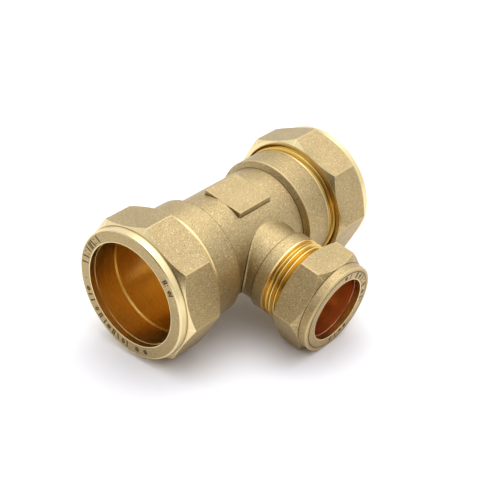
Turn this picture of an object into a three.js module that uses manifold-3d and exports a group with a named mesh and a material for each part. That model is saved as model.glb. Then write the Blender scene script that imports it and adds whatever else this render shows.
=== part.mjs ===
// Compression tee, 35 x 35 x 22 mm. A forged brass body has a threaded spigot at each of its
// three ends. On every spigot a nut holds an olive, the soft metal ring that it squeezes on
// to the tube. The nuts are run up by hand, and no tube is fitted.
//
// Millimetres, +Z up. The run lies along X and the branch points along +Y. The origin is
// under the middle of the fitting, at the height of its lowest point.

import * as THREE from 'three';
import { mergeVertices } from 'three/addons/utils/BufferGeometryUtils.js';
import Module from 'manifold-3d';

const wasm = await Module();
wasm.setup();

// ---------------------------------------------------------------- driving dimensions

const clearance = 0.3;      // kept between any two pieces, threads included
const tubePlay = 0.15;      // between a tube and the bore that it slides into
const olivePocket = 0.45;   // how fast both seats of an olive widen: radius per length

// The two kinds of end. Radii grow outwards from the tube that the end is made for.
const runEnd = {
  tube: 35,                 // outside diameter of the tube
  reach: 36.7,              // middle of the tee to the end of the spigot
  socketDepth: 17.7,        // end of the spigot to the stop that the tube meets
  stopStep: 1.75,           // height of that stop
  bodyWall: 1.8,            // metal around the waterway
  spigotWall: 1.7,          // metal between socket and thread root
  threadDepth: 0.85,
  threadPitch: 1.5,
  threadLength: 8.7,
  collarDrop: 0.25,         // the forged collar lies this far under the thread's crests
  collarLength: 10.6,
  shoulderLength: 1.1,      // slope from the waist up to the collar
  oliveLength: 8.4,
  oliveWall: 1.15,
  oliveTip: 0.35,           // wall left at the olive's two ends
  oliveSeating: 1.0,        // how far the olive reaches into the spigot's mouth
  nutSides: 8,
  nutLength: 16.5,
  nutWall: 1.85,            // metal between the nut's thread and its flats
  nutLip: 1.9,              // end wall of the nut, which the tube passes through
  nutCollarInset: 0.45,     // the round collar lies this far under the flats
  nutCollarLength: 2.75,
  nutBackSlope: 1.1,        // chamfers of the flats: radius per length
  nutFrontSlope: 1.23,
};

const branchEnd = {
  tube: 22,
  reach: 38.0,
  socketDepth: 14.5,
  stopStep: 1.15,
  bodyWall: 3.2,
  spigotWall: 1.65,
  threadDepth: 1.05,
  threadPitch: 1.814,
  threadLength: 11.6,
  collarDrop: 0.05,
  collarLength: 4.9,
  shoulderLength: 0.3,
  oliveLength: 6.6,
  oliveWall: 1.1,
  oliveTip: 0.35,
  oliveSeating: 1.0,
  nutSides: 6,
  nutLength: 12.9,
  nutWall: 1.35,
  nutLip: 2.0,
  nutCollarInset: 0.1,
  nutCollarLength: 3.1,
  nutBackSlope: 2.1,
  nutFrontSlope: 1.33,
};

const padLength = 14.6;     // marking pad on the waist, along the run
const padWidth = 15.1;
const padRise = 0.1;        // the pad's flat stands this far over the crown of the waist

const nutEdge = 0.3;        // broken edges of a nut's outer face
const leadIn = 0.5;         // opening of a nut's mouth beyond its thread

// Where each nut has come to rest when run up by hand: one corner's angle about the tube.
const rightNutTurn = 0.4;
const leftNutTurn = 37.9;
const branchNutTurn = 57.9;

const segments = 40;        // facets around every turned surface
const overshoot = 1;        // how far a cutter runs past the face that it opens

// ---------------------------------------------------------------- sizes worked out from them

/** Radii and stations of one end, measured outwards along its tube from the tee's middle. */
function workOut(end) {
  const socket = end.tube / 2 + tubePlay;
  const threadRoot = socket + end.spigotWall;
  const threadCrest = threadRoot + end.threadDepth;
  const halfFlats = threadCrest + clearance + end.nutWall;
  const waterway = socket - end.stopStep;
  const collarEnd = end.reach - end.threadLength;
  const collarStart = collarEnd - end.collarLength;
  const oliveStart = end.reach - end.oliveSeating;
  const nutShoulder = oliveStart + end.oliveLength + clearance;
  const nutFace = nutShoulder + end.nutLip;
  return {
    ...end, socket, threadRoot, threadCrest, halfFlats, waterway, collarEnd, collarStart,
    oliveStart, nutShoulder, nutFace,
    neck: waterway + end.bodyWall,
    collar: threadCrest - end.collarDrop,
    stop: end.reach - end.socketDepth,
    shoulderStart: collarStart - end.shoulderLength,
    seat: socket + end.oliveTip + clearance,      // radius of either seat at the olive's tip
    nutBack: nutFace - end.nutLength,
    nutCorner: halfFlats / Math.cos(Math.PI / end.nutSides),
    nutCollar: halfFlats - end.nutCollarInset,
  };
}

const run = workOut(runEnd);
const branch = workOut(branchEnd);

// ---------------------------------------------------------------- making solids

/** Closed three.js geometry to a solid that can be joined and cut. */
function solid(geometry) {
  geometry.deleteAttribute('normal');
  geometry.deleteAttribute('uv');
  const merged = mergeVertices(geometry, 1e-4);
  const corners = merged.index.array;
  const triangles = [];
  for (let i = 0; i < corners.length; i += 3) {
    const [a, b, c] = corners.slice(i, i + 3);
    if (a !== b && b !== c && c !== a) triangles.push(a, b, c);
  }
  return new wasm.Manifold(new wasm.Mesh({
    numProp: 3,
    vertProperties: new Float32Array(merged.attributes.position.array),
    triVerts: new Uint32Array(triangles),
  }));
}

/** Solid back to three.js geometry. */
function geometryOf(shape) {
  const mesh = shape.getMesh();
  const geometry = new THREE.BufferGeometry();
  geometry.setAttribute('position', new THREE.BufferAttribute(mesh.vertProperties, 3));
  geometry.setIndex(new THREE.BufferAttribute(mesh.triVerts, 1));
  geometry.computeVertexNormals();
  return geometry;
}

/** Lathe a profile of [station, radius] points about +X. */
function turned(profile) {
  const points = profile.map(([station, radius]) => new THREE.Vector2(radius, station));
  return new THREE.LatheGeometry(points, segments).rotateZ(-Math.PI / 2);
}

/** Rod about +X with a right-hand V thread: crests and roots alternate every half pitch, and
 *  each column of the lathe is carried along the axis as the helix climbs. */
function threadedRod(start, end, root, crest, pitch) {
  const rows = 2 * Math.ceil((end - start) / pitch) + 2;
  const points = [new THREE.Vector2(0, start)];
  for (let row = 0; row <= rows; row++) {
    points.push(new THREE.Vector2(row % 2 ? crest : root, start + (row / 2 - 1) * pitch));
  }
  points.push(new THREE.Vector2(0, end));

  const rod = new THREE.LatheGeometry(points, segments);
  const place = rod.attributes.position;
  for (let column = 0; column <= segments; column++) {
    const angle = column / segments * 2 * Math.PI;
    for (let row = 0; row <= rows; row++) {
      const index = column * points.length + row + 1;
      const climbed = points[row + 1].y + pitch * column / segments;
      const station = Math.min(Math.max(climbed, start), end);
      const fade = Math.min(1, 2 * (station - start) / pitch, 2 * (end - station) / pitch);
      const radius = root + (points[row + 1].x - root) * fade;
      place.setXYZ(index, radius * Math.sin(angle), station, radius * Math.cos(angle));
    }
  }
  return rod.rotateZ(-Math.PI / 2);
}

// ---------------------------------------------------------------- the body

/** Outside of one end of the body, turned to its heading about Z. */
function spigot(end, heading) {
  const blank = turned([
    [-overshoot, 0],
    [-overshoot, end.neck],
    [end.shoulderStart, end.neck],
    [end.collarStart, end.collar],
    [end.collarEnd, end.collar],
    [end.collarEnd, 0],
  ]).rotateZ(heading);
  const thread = threadedRod(
    end.collarEnd - clearance, end.reach, end.threadRoot, end.threadCrest, end.threadPitch,
  ).rotateZ(heading);
  return solid(blank).add(solid(thread));
}

/** Waterway, tube socket and olive seat of one end, as a cutter. */
function bore(end, heading) {
  const seatStart = end.oliveStart - (end.seat - end.socket) / olivePocket;
  const seatEnd = end.seat + (end.oliveSeating + overshoot) * olivePocket;
  return solid(turned([
    [-overshoot, 0],
    [-overshoot, end.waterway],
    [end.stop, end.waterway],
    [end.stop, end.socket],
    [seatStart, end.socket],
    [end.reach + overshoot, seatEnd],
    [end.reach + overshoot, 0],
  ]).rotateZ(heading));
}

/** Forged body: three spigots on a plain waist, with a marking pad above and one below. */
function teeBody() {
  const ends = [[run, 0], [run, Math.PI], [branch, Math.PI / 2]];
  const padHeight = 2 * (run.neck + padRise);
  let shape = solid(new THREE.BoxGeometry(padLength, padWidth, padHeight));
  for (const [end, heading] of ends) shape = shape.add(spigot(end, heading));
  for (const [end, heading] of ends) shape = shape.subtract(bore(end, heading));
  return shape;
}

// ---------------------------------------------------------------- nuts and olives

/** Nut about +X: a prism of flats inside a turned outline, opened by thread and olive seat. */
function nut(end, turn) {
  const length = end.nutFace - end.nutBack;
  const wide = end.nutCorner + overshoot;
  const collarStart = end.nutFace - end.nutCollarLength;
  const outline = solid(turned([
    [end.nutBack, 0],
    [end.nutBack, end.halfFlats],
    [end.nutBack + (wide - end.halfFlats) / end.nutBackSlope, wide],
    [collarStart - (wide - end.nutCollar) / end.nutFrontSlope, wide],
    [collarStart, end.nutCollar],
    [end.nutFace - nutEdge, end.nutCollar],
    [end.nutFace, end.nutCollar - nutEdge],
    [end.nutFace, 0],
  ]));
  const prism = new THREE.CylinderGeometry(
    end.nutCorner, end.nutCorner, length + 2 * overshoot, end.nutSides, 1, false, -Math.PI / 2,
  );
  prism.rotateZ(-Math.PI / 2).rotateX(THREE.MathUtils.degToRad(turn));
  prism.translate(end.nutBack + length / 2, 0, 0);

  const minor = end.threadRoot + clearance;
  const major = end.threadCrest + clearance;
  const mouth = major + leadIn;
  const seatStart = end.nutShoulder - (minor - end.seat) / olivePocket;
  const opening = solid(turned([
    [end.nutBack - overshoot, 0],
    [end.nutBack - overshoot, mouth + overshoot],
    [end.nutBack + mouth - minor, minor],
    [seatStart, minor],
    [end.nutShoulder, end.seat],
    [end.nutShoulder, end.socket],
    [end.nutFace - nutEdge, end.socket],
    [end.nutFace + overshoot, end.socket + nutEdge + overshoot],
    [end.nutFace + overshoot, 0],
  ]));
  const threadStart = end.collarEnd - clearance - end.threadPitch;
  const thread = solid(threadedRod(
    threadStart, seatStart - end.threadPitch, minor, major, end.threadPitch,
  ));
  return outline.intersect(solid(prism)).subtract(opening).subtract(thread);
}

/** Olive about +X: a thin barrel, tapered at both ends to suit the two seats. */
function olive(end) {
  const inner = end.socket;
  const taper = (end.oliveWall - end.oliveTip) / olivePocket;
  const finish = end.oliveStart + end.oliveLength;
  return solid(turned([
    [end.oliveStart, inner],
    [end.oliveStart, inner + end.oliveTip],
    [end.oliveStart + taper, inner + end.oliveWall],
    [finish - taper, inner + end.oliveWall],
    [finish, inner + end.oliveTip],
    [finish, inner],
    [end.oliveStart, inner],
  ]));
}

// ---------------------------------------------------------------- the fitting, put together

/** One finished piece with its own material. */
function piece(name, shape, color, roughness) {
  const material = new THREE.MeshStandardMaterial({ color, roughness, metalness: 1 });
  const mesh = new THREE.Mesh(geometryOf(shape), material);
  mesh.name = name;
  return mesh;
}

const forgedBrass = 0xc9b37c;
const turnedBrass = 0xd9a84a;
const copper = 0xa8502c;

const fitting = new THREE.Group();
fitting.add(piece('tee_body', teeBody(), forgedBrass, 0.55));

const sets = [
  ['right_run', run, 0, rightNutTurn, turnedBrass],
  ['left_run', run, Math.PI, leftNutTurn, turnedBrass],
  ['branch', branch, Math.PI / 2, branchNutTurn, copper],
];
for (const [name, end, heading, turn, oliveColor] of sets) {
  const set = new THREE.Group();
  set.rotation.z = heading;
  set.add(piece(`${name}_nut`, nut(end, turn), forgedBrass, 0.5));
  set.add(piece(`${name}_olive`, olive(end), oliveColor, 0.3));
  fitting.add(set);
}

// Stand the fitting over the origin.
const extent = new THREE.Box3().setFromObject(fitting, true);
const middle = extent.getCenter(new THREE.Vector3());
fitting.position.set(-middle.x, -middle.y, -extent.min.z);

export default fitting;
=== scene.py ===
"""Compression tee, 35 x 35 x 22 mm, as it comes out of its bag: three nuts run up by hand
over their olives. The run lies along X and the branch points along +Y."""

import bpy
import numpy as np
from mathutils import Matrix, Vector


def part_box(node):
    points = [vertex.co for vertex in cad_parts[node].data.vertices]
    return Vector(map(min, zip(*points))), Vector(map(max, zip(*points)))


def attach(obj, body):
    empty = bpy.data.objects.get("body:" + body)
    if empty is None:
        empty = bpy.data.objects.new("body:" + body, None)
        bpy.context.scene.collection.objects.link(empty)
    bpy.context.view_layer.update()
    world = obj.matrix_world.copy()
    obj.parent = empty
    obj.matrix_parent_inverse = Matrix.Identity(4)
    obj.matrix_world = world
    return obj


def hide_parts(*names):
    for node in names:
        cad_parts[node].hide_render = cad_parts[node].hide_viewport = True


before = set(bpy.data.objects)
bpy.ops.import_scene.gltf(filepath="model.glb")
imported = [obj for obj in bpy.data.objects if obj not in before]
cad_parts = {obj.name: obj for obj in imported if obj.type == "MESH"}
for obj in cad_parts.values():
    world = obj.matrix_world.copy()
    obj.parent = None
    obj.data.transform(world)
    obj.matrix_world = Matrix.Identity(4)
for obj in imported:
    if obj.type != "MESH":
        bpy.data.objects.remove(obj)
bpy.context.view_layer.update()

# ---------------------------------------------------------------- Where the fitting lies
# The tubes' axes cross in one point, level with the middle of the olives. Every shape below
# is worked out in millimetres from that crossing, and the camera is set from it as well.

MM = 0.001
run_low, run_high = (np.array(corner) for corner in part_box("right_run_olive"))
crossing = np.array([0.0, (run_low[1] + run_high[1]) / 2, (run_low[2] + run_high[2]) / 2])

# ---------------------------------------------------------------- Camera
# A long lens on a studio stand, looking down on the open mouth of one run nut and on the
# branch. The stand's head is tipped sideways a little.

back_azimuth, elevation, roll = np.radians([124.617, 39.285, 11.035])
camera_distance = 391.96
aim_right, aim_up = 6.452, -4.726
focal_length, film_width = 85.527, 36.0

back = Vector((np.sin(back_azimuth) * np.cos(elevation),
               -np.cos(back_azimuth) * np.cos(elevation), np.sin(elevation)))
level_right = Vector((np.cos(back_azimuth), np.sin(back_azimuth), 0))
level_up = back.cross(level_right)
right = level_right * np.cos(roll) + level_up * np.sin(roll)
up = level_up * np.cos(roll) - level_right * np.sin(roll)
stand = Vector(crossing) + (right * aim_right + up * aim_up + back * camera_distance) * MM

lens = bpy.data.cameras.new("camera")
lens.lens, lens.sensor_width, lens.clip_start = focal_length, film_width, 0.01
camera = bpy.data.objects.new("camera", lens)
camera.matrix_world = Matrix((
    (right.x, up.x, back.x, stand.x),
    (right.y, up.y, back.y, stand.y),
    (right.z, up.z, back.z, stand.z),
    (0, 0, 0, 1)))
bpy.context.scene.collection.objects.link(camera)
bpy.context.scene.camera = camera

# ---------------------------------------------------------------- Forged body
# One hot forging in brass: a plain waist with a marking pad above and below, a collar at
# each run end and a shorter one on the branch. Its spigots are turned: the threads, the
# tube sockets with their stops, and the seats of the olives. The skin stays blasted.


def place(station, radius, angle, heading):
    """Points at a station along one end's tube, at a radius from it and an angle round it
    that starts level and climbs by the right-hand rule, in metres in the part's frame. The
    heading turns the tube: 0 is +X, half a turn is -X and a quarter is +Y."""
    station, radius, angle = np.broadcast_arrays(station, radius, angle)
    across = radius * np.cos(angle)
    x = np.cos(heading) * station - np.sin(heading) * across
    y = np.sin(heading) * station + np.cos(heading) * across
    return np.stack([x, y, radius * np.sin(angle)], axis=-1) * MM + crossing


def outline(corners, rounding, finish, rows, columns):
    """Rows of a profile that runs through corners of (station, radius), each a number or one
    value per column. A corner C is rounded by the curve (1-t)^2 A + 2t(1-t) C + t^2 B, where
    A and B are the points of its two sides that an arc of the given radius would touch, and
    one row more past each of them keeps the sides flat. Finish, as brass() reads it, and the
    number of rows added are given per side. Returns stations and radii, finish per row, and
    the edge field, which goes up to 1 over an outside corner and down to -1 in an inside one."""
    blank = np.zeros(columns)
    points = np.array([[station + blank, radius + blank] for station, radius in corners])
    steps = np.linspace(0, 1, 4)[:, None, None]
    groups = []
    for i, size in enumerate(rounding):
        corner = points[i]
        if not size:
            groups.append((corner[None], 0.0))
            continue
        sides = [points[i - 1] - corner, points[i + 1] - corner]
        lengths = [np.maximum(np.hypot(*side), 1e-9) for side in sides]
        before, after = (side / length for side, length in zip(sides, lengths))
        cosine = np.clip((before * after).sum(0), -1, 0.999)
        tangent = size * np.sqrt((1 + cosine) / (1 - cosine))
        tangent = np.minimum(tangent, 0.35 * np.minimum(*lengths))
        first, last = corner + before * tangent, corner + after * tangent
        curve = (1 - steps) ** 2 * first + 2 * steps * (1 - steps) * corner + steps ** 2 * last
        hold = np.minimum(0.12, 0.1 * np.minimum(*lengths))
        turn = float(np.mean(before[0] * after[1] - before[1] * after[0]))
        groups.append((np.concatenate([[first + before * hold], curve,
                                       [last + after * hold]]), np.sign(turn)))
    profile, finishes, edges = [], [], []
    for i, (group, sign) in enumerate(groups):
        count = len(group)
        arriving, leaving = finish[max(i - 1, 0)], finish[min(i, len(finish) - 1)]
        profile.append(group)
        finishes.append(np.linspace(arriving, leaving, count))
        # The edge field paints a highlight over an outside corner and shade in an inside one.
        edges.append(sign * np.sin(np.linspace(0, np.pi, count)))
        if i < len(rows) and rows[i]:
            share = np.linspace(0, 1, rows[i] + 2)[1:-1, None, None]
            profile.append(group[-1] * (1 - share) + groups[i + 1][0][0] * share)
            finishes.append(np.full(rows[i], float(finish[i])))
            edges.append(np.zeros(rows[i]))
    profile = np.concatenate(profile)
    return (profile[:, 0], profile[:, 1], np.concatenate(finishes),
            np.concatenate(edges)[:, None] + blank)


def thread_rows(start, end, root, crest, pitch, angle):
    """Rows of a right-hand thread. Row i follows the helix station = pitch (i/n + angle/2pi),
    held between start and end, n rows to a turn of the helix, and its radius goes from root
    to crest and back as a V with small flats. The thread fades in over half a pitch."""
    per_pitch = 8
    lowest = int(np.floor(per_pitch * (start / pitch - angle.max() / (2 * np.pi))))
    highest = int(np.ceil(per_pitch * (end / pitch - angle.min() / (2 * np.pi))))
    row = np.arange(lowest, highest + 1)[:, None]
    helix = pitch * (row / per_pitch + angle / (2 * np.pi))
    station = np.clip(helix, start, end)
    vee = 1 - np.abs(2 * (row % per_pitch) / per_pitch - 1)
    height = np.clip((vee - 0.15) / 0.7, 0, 1)
    fade = np.clip(2 * np.minimum(station - start, end - station) / pitch, 0, 1)
    radius = root + (crest - root) * height * fade
    # Painted light: a highlight along the crests and shade down in the roots, through the edge
    # field.
    painted_glint = np.clip((height - 0.7) / 0.3, 0, 1)
    edge = painted_glint - 0.9 * (1 - height) ** 2
    return station, radius, np.full(len(row), 3.0), edge + 0 * angle


def paint_shade(block, station, radius, width, strength=1.0):
    """Paints shade round one point of a block's profile: the edge field goes over towards -1 by
    the strength times exp(-(d/width)^2) at the distance d."""
    middle = len(block[0][0]) // 2
    away = np.hypot(block[0][:, middle] - station, block[1][:, middle] - radius)
    near = strength * np.exp(-(away / width) ** 2)[:, None]
    return (*block[:3], block[3] * (1 - near) - near)


def stack(*blocks):
    """Joins blocks of rows, each (stations, radii, finish, edge), into one run of rows."""
    return tuple(np.concatenate(part) for part in zip(*blocks))


class Skin:
    """Grids of points that share their borders, welded into one closed mesh."""

    def __init__(self):
        self.points, self.faces, self.fields = [], [], []
        self.count = 0

    def add(self, points, finish, edge, along):
        """Adds a grid of (rows, columns, 3) points, its outside facing (columns x rows).
        Finish, edge and along, the length along the profile, are kept for the materials."""
        shape = points.shape[:2]
        number = self.count + np.arange(shape[0] * shape[1]).reshape(shape)
        quads = np.stack([number[:-1, :-1], number[:-1, 1:], number[1:, 1:], number[1:, :-1]],
                         axis=-1)
        self.points.append(points.reshape(-1, 3))
        self.faces.append(quads.reshape(-1, 4))
        self.fields.append(np.stack([np.broadcast_to(field, shape).ravel()
                                     for field in (finish, edge, along)], axis=-1))
        self.count += number.size
        return number

    def turned(self, block, angle, heading):
        """Adds rows of (stations, radii, finish, edge) carried round the tube of one end."""
        station, radius, finish, edge = block
        step = np.hypot(np.diff(station, axis=0), np.diff(radius, axis=0))
        along = np.concatenate([np.zeros((1, step.shape[1])), np.cumsum(step, axis=0)])
        return self.add(place(station, radius, angle, heading), finish[:, None], edge, along)

    def join(self, first, first_angle, second, second_angle):
        """Fills the strip between two rows of numbered points whose columns differ but
        start and end alike. Taken in order of angle, each next point closes a triangle."""
        order = np.argsort(np.concatenate([first_angle[1:], second_angle[1:]]), kind="stable")
        step = (order < len(first_angle) - 1).astype(int)
        i, j = np.cumsum(step), np.cumsum(1 - step)
        self.faces.append(np.stack([first[i - step], first[i], second[j],
                                    second[j - (1 - step)]], axis=-1))

    def piece(self, name):
        """Welds points closer than a micron, drops faces that close up, makes the object."""
        points, fields = np.concatenate(self.points), np.concatenate(self.fields)
        _, first, welded = np.unique(np.round(points / 1e-6).astype(np.int64), axis=0,
                                     return_index=True, return_inverse=True)
        quads = welded.reshape(-1)[np.concatenate(self.faces)]
        same = quads == np.roll(quads, -1, axis=1)
        kept = [quad[~flat].tolist() for quad, flat in zip(quads, same) if flat.sum() < 2]
        mesh = bpy.data.meshes.new(name)
        mesh.from_pydata(points[first].tolist(), [], kept)
        mesh.polygons.foreach_set("use_smooth", np.ones(len(kept), dtype=bool))
        for label, values in zip(("finish", "edge", "along"), fields[first].T):
            layer = mesh.attributes.new(label, "FLOAT", "POINT")
            layer.data.foreach_set("value", np.ascontiguousarray(values, dtype=np.float32))
        mesh.update()
        made = bpy.data.objects.new(name, mesh)
        bpy.context.scene.collection.objects.link(made)
        return made


# Stations along an end's tube and radii from it, the same as the frame's but for the branch's
# neck, which is 0.3 slimmer so that its collar shows. The skin ends short of the collar's end,
# which is turned. Groove shade is how dark a shade is painted in the corner behind the thread,
# and softness gives the radii of the shoulder's foot and crown.
WAIST, WATERWAY = 17.7, 15.9
RUN = dict(neck=WAIST, shoulder=16.3, collar_start=17.4, collar=19.9, collar_end=28.0,
           root=19.35, crest=20.2, pitch=1.5, reach=36.7, socket=17.65, stop=19.0,
           waterway=WATERWAY, seat=18.05, seating=1.0, land=0.55, skin_end=26.9,
           facing_end=27.4, groove_shade=1.0, softness=(0.6, 0.5))
BRANCH = dict(neck=12.9, shoulder=21.2, collar_start=21.5, collar=13.8, collar_end=26.4,
              root=12.8, crest=13.85, pitch=1.814, reach=38.0, socket=11.15, stop=23.5,
              waterway=10.0, seat=11.53, seating=1.0, land=0.3, skin_end=25.8,
              facing_end=26.1, groove_shade=0.25, softness=(0.35, 0.3))
POCKET = 0.45               # how fast an olive's seat widens: radius per length
BLEND = 0.9                 # radius of the ball that would roll between waist and branch
PAD_LENGTH, PAD_WIDTH, PAD_TOP, PAD_DRAFT = 14.6, 15.1, 17.8, 0.12
END_LEAD = 1.2              # level length on either side of a pad's end wall
SIDE_LEAD = np.radians(2.2) # angle of bare waist in front of a pad's side wall
WAIST_END, HOLLOW_END = 15.7, 14.5      # half lengths of the waist's outer and inner grids
FRONT = np.radians(60)      # half angle of the grid that gives way to the branch
SHOULDER_LEAD = 0.4         # how far before its shoulder the rows of an end begin
STOP_LEAD = 1.5             # how far past the tube's stop they end
WALL_LEAN = 0.12            # how far the end wall of a collar leans outwards


def spigot_rows(end, angle, rim_shade):
    """Outside of one end from its shoulder to its mouth, and back in through the tube's socket
    as far as the stop. The rim shade is the width of the shade painted on its collar's edge."""
    n = len(angle)
    mouth = end["seat"] + end["seating"] * POCKET
    seat_start = end["reach"] - end["seating"] - (end["seat"] - end["socket"]) / POCKET
    land_end = end["collar_end"] + end["land"]
    outside = outline(
        [(end["shoulder"] - SHOULDER_LEAD, end["neck"]), (end["shoulder"], end["neck"]),
         (end["collar_start"], end["collar"]), (end["skin_end"], end["collar"]),
         (end["facing_end"], end["collar"]), (end["collar_end"], end["collar"]),
         (end["collar_end"] + WALL_LEAN, end["root"]), (land_end, end["root"])],
        [0, *end["softness"], 0.01, 0.01, 0.08, 0.2, 0], [0, 0, 0, 1, 2, 2, 2],
        [1, 2, 4, 1, 1, 0, 1], n)
    # Painted shade in the corner behind the thread and at the collar's end wall, and round the
    # collar's rim by the rim shade.
    outside = paint_shade(outside, end["collar_end"] + WALL_LEAN, end["root"], 0.3, end["groove_shade"])
    outside = paint_shade(outside, end["collar_end"], end["collar"], 0.35, 0.6 * end["groove_shade"])
    if rim_shade:
        outside = paint_shade(outside, end["collar_start"], end["collar"], rim_shade)
    thread = thread_rows(land_end, end["reach"], end["root"], end["crest"], end["pitch"], angle)
    inside = outline(
        [(end["reach"], end["root"]), (end["reach"], mouth), (seat_start, end["socket"]),
         (end["stop"], end["socket"]), (end["stop"], end["waterway"]),
         (end["stop"] - STOP_LEAD, end["waterway"])],
        [0, 0.1, 0.2, 0.3, 0.25, 0], [2, 2, 2, 2, 2], [1, 3, 8, 2, 1], n)
    return stack(outside, thread, inside)


def on_waist(angle):
    """Points (across, up) of the waist's round section: radius times cosine and sine."""
    return WAIST * np.stack([np.cos(angle), np.sin(angle)], axis=-1)


# Cross-section of the waist from one side of the front grid round to the other, with the
# pads above and below, which mirror each other.
pad_foot = np.sqrt(WAIST ** 2 - (PAD_WIDTH / 2 + PAD_DRAFT) ** 2)
pad_start = np.arctan2(pad_foot, PAD_WIDTH / 2 + PAD_DRAFT) - SIDE_LEAD
pad_side = [on_waist(pad_start), (PAD_WIDTH / 2 + PAD_DRAFT, pad_foot),
            (PAD_WIDTH / 2, PAD_TOP), (0, PAD_TOP)]
side_y, side_z, _, side_edge = outline(pad_side, [0, 0.3, 0.22, 0], [0, 0, 0], [1, 2, 7], 1)
lead = np.linspace(FRONT, pad_start, 4)[:-1]
half_pad = np.concatenate([on_waist(lead), np.stack([side_y[:, 0], side_z[:, 0]], axis=-1)])
# The pad's edge field paints a highlight along its top edges and shade at its foot.
half_pad_edge = -np.concatenate([np.zeros(len(lead)), side_edge[:, 0]])
top_pad = np.concatenate([half_pad, (half_pad * (-1, 1))[-2::-1]])
top_edge = np.concatenate([half_pad_edge, half_pad_edge[-2::-1]])
rear = np.linspace(np.pi - FRONT, np.pi + FRONT, 37)[1:-1]
with_pads = np.concatenate([top_pad, on_waist(rear), (top_pad * (1, -1))[::-1]])
back_angle = np.unwrap(np.arctan2(with_pads[:, 1], with_pads[:, 0]))
padded_radius = np.hypot(with_pads[:, 0], with_pads[:, 1])
pad_edge = np.concatenate([top_edge, np.zeros(len(rear)), top_edge[::-1]])
on_pad = np.clip((padded_radius - WAIST - 0.15) / 0.2, 0, 1)    # 1 where a pad stands clear

# Stations along the waist, close together over the ends of the pads, where the wall climbs.
PLAIN_ROWS, CROWN_ROWS = 6, 3           # rows beyond a pad's end, and from there to its middle
pad_rise = PAD_TOP - pad_foot
pad_end = [(PAD_LENGTH / 2 + END_LEAD, 0), (PAD_LENGTH / 2 + PAD_DRAFT, 0),
           (PAD_LENGTH / 2, pad_rise), (PAD_LENGTH / 2 - END_LEAD, pad_rise)]
end_x, end_climb, _, end_edge = outline(pad_end, [0, 0.3, 0.22, 0], [0, 0, 0], [0, 1, 0], 1)
half_x = np.concatenate([np.linspace(WAIST_END, end_x[0, 0], PLAIN_ROWS + 1)[:-1],
                         end_x[:, 0], np.linspace(end_x[-1, 0], 0, CROWN_ROWS + 1)[1:]])
half_climb = np.concatenate([np.zeros(PLAIN_ROWS), end_climb[:, 0] / pad_rise,
                             np.ones(CROWN_ROWS)])
# The same painted highlight and shade across the ends of a pad.
half_row_edge = -np.concatenate([np.zeros(PLAIN_ROWS), end_edge[:, 0], np.zeros(CROWN_ROWS)])
waist_x = np.concatenate([-half_x, half_x[-2::-1]])
row_edge = np.concatenate([half_row_edge, half_row_edge[-2::-1]])
climb = np.concatenate([half_climb, half_climb[-2::-1]])
side_columns = len(waist_x) - 1         # along each side of the front grid
front_angle = np.linspace(-FRONT, FRONT, side_columns + 1)

body = Skin()
rear_radius = WAIST + (padded_radius - WAIST) * climb[:, None]
# Painted highlight and shade round the pads, where they stand clear.
rear_edge = pad_edge * climb[:, None] + row_edge[:, None] * on_pad
body.add(place(waist_x[:, None], rear_radius, back_angle, 0.0), 0.0, rear_edge, 0.0)
hollow_x = np.linspace(HOLLOW_END, -HOLLOW_END, side_columns + 1)
body.add(place(hollow_x[:, None], WATERWAY, back_angle, 0.0), 2.0, 0.0, hollow_x[:, None])

# The two run ends take up the waist's columns, and short links close up to its grids.
around = np.concatenate([front_angle, back_angle[1:]])
# Only the +X end has shade painted round its collar's rim.
for heading, angle, rim_shade in ((0.0, around, 0.3), (np.pi, (np.pi - around)[::-1], 0)):
    body.turned(spigot_rows(RUN, angle, rim_shade), angle, heading)
    for radius, finish, stations in ((WAIST, 0, (WAIST_END, RUN["shoulder"] - SHOULDER_LEAD)),
                                     (WATERWAY, 2, (RUN["stop"] - STOP_LEAD, HOLLOW_END))):
        link = outline([(station, radius) for station in stations], [0, 0], [finish], [0],
                       len(angle))
        body.turned(link, angle, heading)


def front_border(stations):
    """Border of the front grid, unrolled to (x, angle round the run), starting at the
    corner of low x and low angle and going round with the branch's own columns."""
    low, high = stations[0], stations[-1]
    flat = np.ones(side_columns)
    return np.concatenate([
        np.stack([low * flat, front_angle[:-1]], -1),
        np.stack([stations[:-1], FRONT * flat], -1),
        np.stack([high * flat, front_angle[:0:-1]], -1),
        np.stack([stations[:0:-1], -FRONT * flat], -1),
        [[low, -FRONT]]])


# The branch. A ball of radius b rolls between the waist, radius W, and the neck, radius n:
# its centre is at (-(n+b) cos a, sqrt((W+b)^2 - z^2), z = (n+b) sin a), and the blend is the
# arc from where it touches the waist to where it touches the neck.
turn = np.linspace(-np.pi / 4, 2 * np.pi - np.pi / 4, 4 * side_columns + 1)
ball_reach = BRANCH["neck"] + BLEND
ball = np.stack([-ball_reach * np.cos(turn), 0 * turn, ball_reach * np.sin(turn)], -1)
ball[:, 1] = np.sqrt((WAIST + BLEND) ** 2 - ball[:, 2] ** 2)
to_waist = -ball * (0, 1, 1) / (WAIST + BLEND)
to_neck = np.stack([np.cos(turn), 0 * turn, -np.sin(turn)], -1)
arc = np.arccos(np.clip((to_waist * to_neck).sum(-1), -1, 1))[None, :, None]
share = np.linspace(0, 1, 13)[:, None, None]
blend = ball + BLEND * (np.sin((1 - share) * arc) * to_waist
                        + np.sin(share * arc) * to_neck) / np.sin(arc)


def round_run(unrolled, radius):
    """Rolls (x, angle) on to a cylinder round the run, in metres in the part's frame."""
    return place(unrolled[..., 0], radius, unrolled[..., 1], 0.0)


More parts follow.
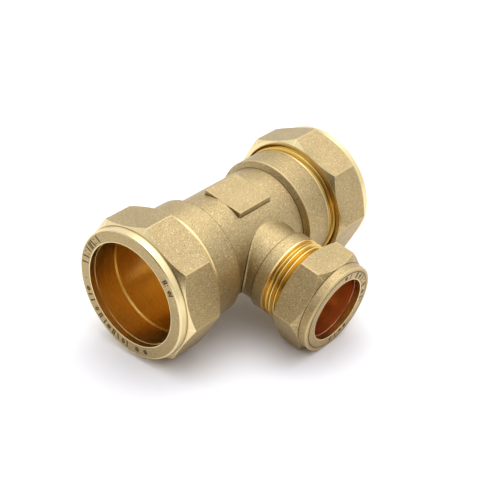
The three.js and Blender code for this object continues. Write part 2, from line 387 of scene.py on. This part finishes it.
# The apron of the waist, from the front border to where the ball touches, then the blend.
# Its edge field paints shade in the valley and a highlight on the rise, most so along the run.
touch = np.stack([blend[0, :, 0], np.arctan2(blend[0, :, 2], blend[0, :, 1])], -1)
body.add(round_run(front_border(waist_x) * (1 - share) + touch * share, WAIST), 0.0, 0.0, 0.0)
over = share[..., 0]
blend_shading = 0.9 * np.exp(-((over - 0.6) / 0.12) ** 2) - 1.1 * np.exp(-((over - 0.15) / 0.3) ** 2)
body.add(blend * MM + crossing, 0.0, blend_shading * (0.25 + 0.75 * np.cos(turn) ** 2), 0.0)

neck_top = BRANCH["shoulder"] - SHOULDER_LEAD
share = np.linspace(0, 1, 8)[:, None]
body.add(place(blend[-1, :, 1] * (1 - share) + neck_top * share, BRANCH["neck"], turn,
               np.pi / 2), 0.0, 0.0, 0.0)
# The branch's collar gets painted shade round its rim too.
body.turned(spigot_rows(BRANCH, turn, 0.3), turn, np.pi / 2)

# Inside, the branch's waterway meets the run's in a sharp curved edge.
drop = np.sqrt(WATERWAY ** 2 - (BRANCH["waterway"] * np.sin(turn)) ** 2)
body.add(place((BRANCH["stop"] - STOP_LEAD) * (1 - share) + drop * share, BRANCH["waterway"],
               turn, np.pi / 2), 2.0, 0.0, share * 10)
opening = np.stack([-BRANCH["waterway"] * np.cos(turn),
                    np.arctan2(BRANCH["waterway"] * np.sin(turn), drop)], -1)
share = np.linspace(0, 1, 9)[:, None, None]
floor_of_run = opening * (1 - share) + front_border(hollow_x[::-1]) * share
body.add(round_run(floor_of_run, WATERWAY), 2.0, 0.0, 0.0)

tee_body = body.piece("tee_body_forging")


class Signal:
    """One output in a material. Arithmetic on signals adds Math nodes."""

    def __init__(self, tree, socket=None):
        self.tree, self.socket = tree, socket

    def node(self, kind, settings=None, sockets=None, out=0):
        """Adds a node: first its settings, then a value or a link for each named socket."""
        node = self.tree.nodes.new(kind)
        for key, value in (settings or {}).items():
            setattr(node, key, value)
        for key, value in (sockets or {}).items():
            if isinstance(value, Signal):
                self.tree.links.new(value.socket, node.inputs[key])
            else:
                node.inputs[key].default_value = value
        return Signal(self.tree, node.outputs[out] if node.outputs else None)

    def math(self, operation, *values):
        return self.node("ShaderNodeMath", {"operation": operation}, dict(enumerate(values)))

    def __add__(self, other):
        return self.math("ADD", self, other)

    def __radd__(self, other):
        return self.math("ADD", other, self)

    def __sub__(self, other):
        return self.math("SUBTRACT", self, other)

    def __rsub__(self, other):
        return self.math("SUBTRACT", other, self)

    def __mul__(self, other):
        return self.math("MULTIPLY", self, other)

    def __rmul__(self, other):
        return self.math("MULTIPLY", other, self)

    def clip(self, low, high):
        """Goes from 0 to 1 as this signal goes from low to high."""
        return self.node("ShaderNodeMapRange", {"interpolation_type": "SMOOTHSTEP"},
                         {0: self, 1: low, 2: high})

    def color(self, values):
        """A color of its own, for mixing."""
        node = self.node("ShaderNodeRGB")
        node.socket.default_value = (*values, 1)
        return node

    def mix(self, other, factor):
        """This color, going over to another one by a factor."""
        return self.node("ShaderNodeMix", {"data_type": "RGBA"},
                         {0: factor, 6: self, 7: other}, out=2)

    def noise(self, scale, detail=2.0, roughness=0.5):
        """Noise round the piece's own place, its grain given in cells to a metre."""
        spot = self.node("ShaderNodeTexCoord", out="Object")
        return self.node("ShaderNodeTexNoise", {},
                         {"Vector": spot, "Scale": scale, "Detail": detail,
                          "Roughness": roughness})

    def field(self, name):
        """A value that the mesh keeps for each of its points."""
        return self.node("ShaderNodeAttribute", {"attribute_name": name}, out="Fac")


GRAIN_DEPTH, RING_DEPTH = 0.2, 0.012    # of the blasted skin and of the tool marks, in mm


def brass(name, blasted, turned, bored, threaded):
    """Forged skin and cut metal in one finish, told apart by the mesh's finish field: 0 for
    the blasted skin, 1 where it is turned outside, 2 where it is bored and 3 on threads.
    A highlight is painted where the edge field is positive, and shade in inside corners and
    grooves where it is negative; the stamped marks go dark the same way. The tool leaves rings
    that follow the length along the profile."""
    material = bpy.data.materials.new(name)
    material.use_nodes = True
    tree = material.node_tree
    tree.nodes.clear()
    graph = Signal(tree)
    finish, edge = graph.field("finish"), graph.field("edge")
    cut, inside = finish.clip(0.35, 0.65), finish.clip(1.35, 1.65)

    def skin_tone(strength):
        return graph.color(strength * part for part in blasted)

    grain = graph.noise(1900, 3, 0.7)
    speck = graph.noise(3000, 2, 0.6)
    cloud = graph.noise(70, 3, 0.6)
    skin = skin_tone(1.0).mix(skin_tone(0.88), cloud.clip(0.35, 0.65))
    skin = skin.mix(skin_tone(1.75), 0.9 * grain.clip(0.5, 0.76))
    skin = skin.mix(skin_tone(0.35), 0.9 * speck.clip(0.5, 0.28))
    # Painted highlight on outside corners and painted shade in inside corners and grooves of the
    # skin.
    skin = skin.mix(skin_tone(1.5), 0.6 * edge.clip(0.1, 0.9))
    skin = skin.mix(graph.color((0.08, 0.045, 0.012)), 0.95 * edge.clip(-0.1, -0.9))

    rings = graph.node("ShaderNodeTexNoise", {"noise_dimensions": "1D"},
                       {"W": graph.field("along") * 7.0 + cloud * 0.8, "Scale": 1.0,
                        "Detail": 3.0, "Roughness": 0.7})
    metal = graph.color(turned).mix(graph.color(bored), inside)
    metal = metal.mix(graph.color(threaded), finish.clip(2.35, 2.65))
    metal = metal.mix(graph.color(0.75 * part for part in bored), 0.5 * rings.clip(0.35, 0.75))
    # The same painted highlight and shade on the cut metal.
    highlight_tone = graph.color((1.0, 0.86, 0.55))
    highlight_tone = highlight_tone.mix(graph.color(1.15 * part for part in bored), 0.7 * inside)
    metal = metal.mix(highlight_tone, 0.7 * edge.clip(0.3, 0.9))
    metal = metal.mix(graph.color((0.24, 0.12, 0.02)), 0.8 * edge.clip(-0.1, -0.9))

    height = ((grain * 0.7 + speck * 0.3) * (1 - cut) * GRAIN_DEPTH
              + rings * cut * RING_DEPTH)
    relief = graph.node("ShaderNodeBump", {},
                        {"Height": height, "Distance": MM, "Strength": 1.0})
    rough = (0.4 + 0.1 * speck) * (1 - cut) + (0.2 + 0.14 * rings) * cut
    shader = graph.node("ShaderNodeBsdfPrincipled", {}, {
        "Base Color": skin.mix(metal, cut), "Metallic": 1.0, "Roughness": rough,
        "Normal": relief})
    graph.node("ShaderNodeOutputMaterial", {}, {"Surface": shader})
    return material


forged_brass = brass("forged_brass", (0.48, 0.36, 0.172), (0.87, 0.72, 0.39),
                     (0.80, 0.55, 0.18), (0.78, 0.50, 0.09))
tee_body.data.materials.append(forged_brass)
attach(tee_body, "tee_body")
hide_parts("tee_body")

# ---------------------------------------------------------------- Nuts
# Each nut is a forged brass prism with a round collar, and inside it has the thread, the
# olive's seat and a lip that the tube passes through. The chamfers and collar of a run nut
# are turned, and those of the branch nut keep their blasted skin.

# Stations and radii, with the face's stamped ring as (inner, outer) radius. The slopes are
# radius per length of the chamfers that the corners end in, behind and in front.
RUN_NUT = dict(sides=8, per_flat=40, half_flats=22.35, back=29.8, face=46.3, collar=21.9,
               collar_start=43.55, back_slope=1.1, front_slope=1.23, shoulder=44.4,
               ring=(18.4, 20.95), ring_columns=1200, ring_rows=25)
BRANCH_NUT = dict(sides=6, per_flat=48, half_flats=15.5, back=33.0, face=45.9, collar=15.4,
                  collar_start=42.8, back_slope=2.1, front_slope=1.33, shoulder=43.9,
                  ring=(11.65, 13.6), ring_columns=900, ring_rows=22)
GAP = 0.3                   # between a nut's thread and the body's
LEAD_IN = 0.5               # how much wider than its thread a nut's mouth opens
CORNER_ROUND = 0.35         # radius of a nut's corners between two flats
STAMP_DEPTH = 0.2           # of the marks on a nut's face
RING_MARGIN = 0.12          # smooth face on either side of the stamped ring


def from_corner(angle, corner, sides):
    """Angle from the nearest corner of a polygon that has one corner at a given angle."""
    sector = 2 * np.pi / sides
    return (angle - corner + sector / 2) % sector - sector / 2


def flats(angle, corner, sides, half_flats, round_off):
    """Radius of a regular polygon, its corners cut back by a circle of a given radius that
    touches both flats: the smaller of the flat's line and the circle, seen from the axis."""
    half_sector = np.pi / sides
    away = from_corner(angle, corner, sides)
    flat = half_flats / np.cos(half_sector - np.abs(away))
    centre = (half_flats - round_off) / np.cos(half_sector)
    inside = round_off ** 2 - (centre * np.sin(away)) ** 2
    arc = centre * np.cos(away) + np.sqrt(np.maximum(inside, 0))
    touch = np.arctan2(round_off * np.sin(half_sector),
                       centre + round_off * np.cos(half_sector))
    return np.where(np.abs(away) < touch, arc, flat)


# Stamped marks, each a list of strokes from one (across, out) to another, in half heights.
TICK = [((0, -1), (0, 1))]
SLANT = [((-0.3, -1), (0.3, 1))]
PAIR = [((-0.35, -1), (-0.35, 1)), ((0.35, -1), (0.35, 1))]
DOTS = [((0, 0.65), (0, 0.65)), ((0, -0.65), (0, -0.65))]
DOT = [((0, 0), (0, 0))]
DIAMOND = [((0, -0.8), (0.55, 0)), ((0.55, 0), (0, 0.8)),
           ((0, 0.8), (-0.55, 0)), ((-0.55, 0), (0, -0.8))]
CIRCLE = [((0.62 * np.cos(a), 0.62 * np.sin(a)),
           (0.62 * np.cos(a + np.pi / 5), 0.62 * np.sin(a + np.pi / 5)))
          for a in np.linspace(0, 2 * np.pi, 11)[:-1]] + DOT


def stamped(angle, radius, middle, marks):
    """How deep a stamp goes in, 0 to 1: smoothstep of the distance to the nearest stroke,
    from 0.33 mm down to 0.15. Each mark is (degrees, strokes, half height in mm)."""
    depth = np.zeros(np.broadcast(angle, radius).shape)
    for degrees, strokes, size in marks:
        across = (angle - np.radians(degrees) + np.pi) % (2 * np.pi) - np.pi
        across, rise = across * middle / size, (radius - middle) / size
        for (x0, y0), (x1, y1) in strokes:
            dx, dy = x1 - x0, y1 - y0
            t = ((across - x0) * dx + (rise - y0) * dy) / max(dx * dx + dy * dy, 1e-9)
            t = np.clip(t, 0, 1)
            away = size * np.hypot(across - x0 - t * dx, rise - y0 - t * dy)
            near = np.clip((0.33 - away) / 0.18, 0, 1)
            depth = np.maximum(depth, near * near * (3 - 2 * near))
    return depth


def nut_outside(sizes, trim, mouth, angle, corner):
    """Rows from the thread's mouth out over the flats to the stamped ring. The corners are
    cut by cones: their station is the flat's end, plus or minus (radius - start) / slope.
    Between two flats the corners get a painted highlight of 0.8 exp(-(d/0.3)^2), d round the
    nut."""
    half_flats, back, face = sizes["half_flats"], sizes["back"], sizes["face"]
    wide = flats(angle, corner, sizes["sides"], half_flats, CORNER_ROUND)
    back_edge = back + (wide - half_flats) / sizes["back_slope"]
    front_edge = sizes["collar_start"] - (wide - sizes["collar"]) / sizes["front_slope"]
    rows = outline(
        [(back, mouth), (back, half_flats - 0.1), (back_edge, wide), (front_edge, wide),
         (sizes["collar_start"], sizes["collar"]), *trim["rim"],
         (face, sizes["ring"][1] + RING_MARGIN)],
        [0, 0.12, 0.12, 0.12, 0.25, *trim["rounding"], 0],
        [1, trim["back"], 0, trim["front"], trim["collar"], *trim["rim_finish"]],
        [1, 3, 4, 3, 2, *trim["rows"]], len(angle))
    away = from_corner(angle, corner, sizes["sides"]) * half_flats
    painted_glint = 0.8 * np.exp(-(away / 0.3) ** 2) * (rows[1] > half_flats + 0.01)
    rows = (*rows[:3], rows[3] * (1 - painted_glint) + painted_glint)
    # Painted shade round each of the trim's shade spots.
    for spot in trim["shade_spots"]:
        rows = paint_shade(rows, *spot)
    return rows


def nut_inside(end, sizes, trim, mouth, angle):
    """Rows from the stamped ring in over the lip and the olive's seat, then back along the
    thread. Its mouth opens in a cone, so no radius there is below mouth + back - station."""
    minor, major = end["root"] + GAP, end["crest"] + GAP
    face, back = sizes["face"], sizes["back"]
    seat_start = sizes["shoulder"] - (minor - end["seat"]) / POCKET
    thread_end = seat_start - end["pitch"]
    bore = outline(
        [(face, sizes["ring"][0] - RING_MARGIN), (face, end["socket"] + 0.25),
         (face, end["socket"]), (sizes["shoulder"], end["socket"]),
         (sizes["shoulder"], end["seat"]), (seat_start, minor), (thread_end, minor)],
        [0, 0.01, 0.18, 0.1, 0.1, 0.2, 0], [trim["face"], 1, 2, 2, 2, 2],
        [0, 0, 2, 1, 2, 1], len(angle))
    station, radius, finish, edge = thread_rows(back, thread_end, minor, major, end["pitch"],
                                                angle)
    opened = np.maximum(radius, mouth + back - station)
    # Painted shade where the thread begins inside the mouth.
    thread = paint_shade((station, opened, finish, edge), back + mouth - minor, minor, 0.7)
    return stack(bore, tuple(part[::-1] for part in thread))


def nut(name, end, sizes, trim, turn_degrees, heading, node):
    """One nut: its outside and its inside carried round the tube, and between them a finer
    grid for the stamped ring. Its columns crowd together at the corners: the angle is
    corner + sector (u - 0.75 sin(2 pi u) / 2 pi), where u counts the flats."""
    corner, sector = np.radians(turn_degrees), 2 * np.pi / sizes["sides"]
    flat = np.arange(sizes["sides"] * sizes["per_flat"] + 1) / sizes["per_flat"]
    angle = corner + sector * (flat - 0.75 * np.sin(2 * np.pi * flat) / (2 * np.pi))
    mouth = end["crest"] + GAP + LEAD_IN
    low, high = sizes["ring"]
    ring_angle = np.linspace(angle[0], angle[-1], sizes["ring_columns"] + 1)
    ring_radius = np.linspace(high, low, sizes["ring_rows"] + 1)[:, None]
    stamp = stamped(ring_angle, ring_radius, (low + high) / 2, trim["marks"])
    skin = Skin()
    first = skin.turned(nut_outside(sizes, trim, mouth, angle, corner), angle, heading)
    ring = skin.turned((sizes["face"] - STAMP_DEPTH * stamp, ring_radius,
                        np.full(len(stamp), float(trim["face"])), -stamp), ring_angle, heading)
    last = skin.turned(nut_inside(end, sizes, trim, mouth, angle), angle, heading)
    skin.join(first[-1], angle, ring[0], ring_angle)
    skin.join(ring[-1], ring_angle, last[0], angle)
    made = skin.piece(name)
    made.data.materials.append(forged_brass)
    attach(made, node)
    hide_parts(node)
    return made


# How each kind of nut is finished. Its rim goes from the collar to the face, with a radius for
# each corner, and a finish and a number of rows for the side after it. Then come the finish of
# the chamfers behind and in front, of the collar and of the face, and where shade is painted. A
# run nut has a bevel, and a branch nut a round rim and a fine step in its face.
BEVEL_LENGTH, BEVEL_WIDTH = 0.27, 0.5
run_face, run_collar = RUN_NUT["face"], RUN_NUT["collar"]
run_trim = dict(
    rim=[(run_face - BEVEL_LENGTH, run_collar), (run_face, run_collar - BEVEL_WIDTH)],
    rounding=[0.12, 0.1], rim_finish=[1, 0.3], rows=[2, 1], back=1, front=1, collar=1, face=0,
    shade_spots=[(RUN_NUT["collar_start"], run_collar, 0.3)],
    marks=[
        (141, SLANT, 1.2), (147, DOTS, 1.2), (151, SLANT, 1.2), (156, PAIR, 1.2),
        (162, TICK, 1.2), (167, DOTS, 1.2), (172, SLANT, 1.2), (179, SLANT, 1.2),
        (-163, DOT, 1.0), (-152, CIRCLE, 1.0), (-146, TICK, 0.8), (-140, TICK, 1.0),
        (-131, DIAMOND, 1.0), (-124, PAIR, 1.0), (-117, TICK, 1.0), (-111, CIRCLE, 1.0),
        (-104, PAIR, 1.0), (-98, SLANT, 1.0), (-91, DIAMOND, 1.0), (-86, TICK, 1.0),
        (-73, CIRCLE, 1.0), (-62, CIRCLE, 1.0), (48, PAIR, 0.9), (45, DOTS, 0.9),
        (38, DIAMOND, 0.9), (35, TICK, 0.9)])
STEP_RADIUS, FACE_STEP = 13.98, 0.04
small_face, small_collar = BRANCH_NUT["face"], BRANCH_NUT["collar"]
small_trim = dict(
    rim=[(small_face - FACE_STEP, small_collar), (small_face - FACE_STEP, STEP_RADIUS),
         (small_face, STEP_RADIUS - 0.08)],
    rounding=[1.35, 0.03, 0.03], rim_finish=[0, 0, 0.3], rows=[1, 2, 0], back=0, front=0,
    collar=0, face=0.3, shade_spots=[(small_face - FACE_STEP / 2, STEP_RADIUS, 0.22)],
    marks=[
        (88, CIRCLE, 0.8), (77, TICK, 0.9), (60, PAIR, 0.9), (48, DIAMOND, 0.9),
        (38, TICK, 0.9), (28, DOTS, 0.9), (18, PAIR, 0.9), (3, CIRCLE, 0.8), (-8, TICK, 0.9),
        (-15, DOTS, 0.9), (-58, PAIR, 0.8), (-68, CIRCLE, 0.8), (-79, TICK, 0.8),
        (-90, DIAMOND, 0.8)])
right_nut = nut("right_nut", RUN, RUN_NUT, run_trim, 0.4, 0.0, "right_run_nut")
left_nut = nut("left_nut", RUN, RUN_NUT, run_trim, 37.9, np.pi, "left_run_nut")
small_nut = nut("small_nut", BRANCH, BRANCH_NUT, small_trim, 57.9, np.pi / 2, "branch_nut")

# ---------------------------------------------------------------- Olives
# A ring of soft metal, barrel-shaped outside and tapered at both ends: brass on the run and
# copper on the branch. It lies loose between the spigot's mouth and its nut.

RUN_OLIVE = dict(start=35.7, length=8.4, wall=1.15, tip=0.35)
BRANCH_OLIVE = dict(start=37.0, length=6.6, wall=1.1, tip=0.35)


def olive(name, end, sizes, heading, node, material):
    """One olive: a profile carried round the tube. It is cylindrical in the middle and tapers
    at both ends, as steeply as its seats, down to a blunt tip."""
    angle = np.linspace(0, 2 * np.pi, 161)
    start, finish = sizes["start"], sizes["start"] + sizes["length"]
    taper = (sizes["wall"] - sizes["tip"]) / POCKET
    inner = end["socket"]
    rows = outline(
        [((start + finish) / 2, inner), (start, inner), (start, inner + sizes["tip"]),
         (start + taper, inner + sizes["wall"]), (finish - taper, inner + sizes["wall"]),
         (finish, inner + sizes["tip"]), (finish, inner), ((start + finish) / 2, inner)],
        [0, 0.1, 0.12, 0.8, 0.8, 0.12, 0.1, 0], [2] * 7,
        [6, 0, 2, 4, 2, 0, 6], len(angle))
    skin = Skin()
    skin.turned(rows, angle, heading)
    made = skin.piece(name)
    made.data.materials.append(material)
    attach(made, node)
    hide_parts(node)
    return made


olive_brass = brass("olive_brass", (0.6, 0.42, 0.14), (0.9, 0.62, 0.2), (0.9, 0.62, 0.2),
                    (0.9, 0.62, 0.2))
olive_copper = brass("olive_copper", (0.6, 0.2, 0.08), (0.95, 0.38, 0.17), (1.0, 0.43, 0.23),
                     (0.9, 0.34, 0.14))
for side, heading in (("right", 0.0), ("left", np.pi)):
    ring = olive(f"{side}_olive", RUN, RUN_OLIVE, heading, f"{side}_run_olive", olive_brass)
ring = olive("small_olive", BRANCH, BRANCH_OLIVE, np.pi / 2, "branch_olive", olive_copper)

# ---------------------------------------------------------------- Table and light
# The fitting lies on a white table as it would by itself: on one corner of each run nut and
# on the rim of the small nut, so the table climbs towards the branch. A white room is all
# round it, dark only on the side it is looked at from, with a large soft box overhead.

TABLE_SIZE = 6.0            # in metres

# The fitting stands on the lowest point of each nut. The plane through the three gives the
# way up, and that gives the lowest points anew. They settle well within twenty rounds.
nut_points = [np.array([vertex.co[:] for vertex in made.data.vertices])
              for made in (right_nut, left_nut, small_nut)]
upright = np.array([0.0, 0.0, 1.0])
for _ in range(20):
    right_foot, left_foot, small_foot = (points[np.argmin(points @ upright)]
                                         for points in nut_points)
    upright = np.cross(left_foot - right_foot, small_foot - right_foot)
    upright /= np.linalg.norm(upright) * np.sign(upright[2])

table_x = np.cross([0.0, 1.0, 0.0], upright)
table_x /= np.linalg.norm(table_x)
table_y = np.cross(upright, table_x)
grid = np.linspace(-TABLE_SIZE / 2, TABLE_SIZE / 2, 5)
across, along = np.meshgrid(grid, grid)
sheet = (across[..., None] * table_x + along[..., None] * table_y + right_foot)[:, ::-1]
table_skin = Skin()
table_skin.add(sheet, 0.0, 0.0, 0.0)
table = table_skin.piece("table")
paper = bpy.data.materials.new("white_paper")
paper.use_nodes = True
paper.node_tree.nodes.clear()
graph = Signal(paper.node_tree)
tone = graph.noise(8).clip(0.2, 0.8)
shader = graph.node("ShaderNodeBsdfPrincipled", {}, {
    "Base Color": graph.color((0.93, 0.91, 0.88)).mix(graph.color((0.95, 0.93, 0.90)), tone),
    "Roughness": 0.8, "Specular IOR Level": 0.1})
graph.node("ShaderNodeOutputMaterial", {}, {"Surface": shader})
table.data.materials.append(paper)

# The room is bright all round and brighter higher up, and falls off to near black towards
# its dark side. Both follow the cosine between a direction of sight and a fixed one.
DARK_SIDE = (0.665, 0.665, -0.55)
room = bpy.data.worlds.new("white_room")
room.use_nodes = True
room.node_tree.nodes.clear()
graph = Signal(room.node_tree)
direction = graph.node("ShaderNodeTexCoord", out="Generated")
towards, height = (graph.node("ShaderNodeVectorMath", {"operation": "DOT_PRODUCT"},
                              {0: direction, 1: fixed}, out="Value")
                   for fixed in (DARK_SIDE, (0, 0, 1)))
light = graph.color((1.02, 1.04, 1.10))
light = light.mix(graph.color((1.55, 1.62, 1.84)), height.clip(0.45, 0.95))
light = light.mix(graph.color((0.10, 0.06, 0.02)), towards.clip(-0.25, 0.62))
walls = graph.node("ShaderNodeBackground", {}, {"Color": light, "Strength": 1.0})
graph.node("ShaderNodeOutputWorld", {}, {"Surface": walls})
bpy.context.scene.world = room

# The soft box: a square light, aimed at the fitting.
BOX_DISTANCE, BOX_SIZE, BOX_WATTS = 0.9, 0.8, 2.9
lamp = bpy.data.lights.new("overhead", "AREA")
lamp.size, lamp.energy, lamp.color = BOX_SIZE, BOX_WATTS, (1.0, 0.99, 0.97)
overhead = bpy.data.objects.new("overhead", lamp)
away = Vector((-0.35, -0.3, 1.0)).normalized()
overhead.matrix_world = (Matrix.Translation(Vector(crossing) + away * BOX_DISTANCE)
                         @ away.to_track_quat("Z", "Y").to_matrix().to_4x4())
bpy.context.scene.collection.objects.link(overhead)

bpy.context.scene.view_settings.view_transform = "Standard"
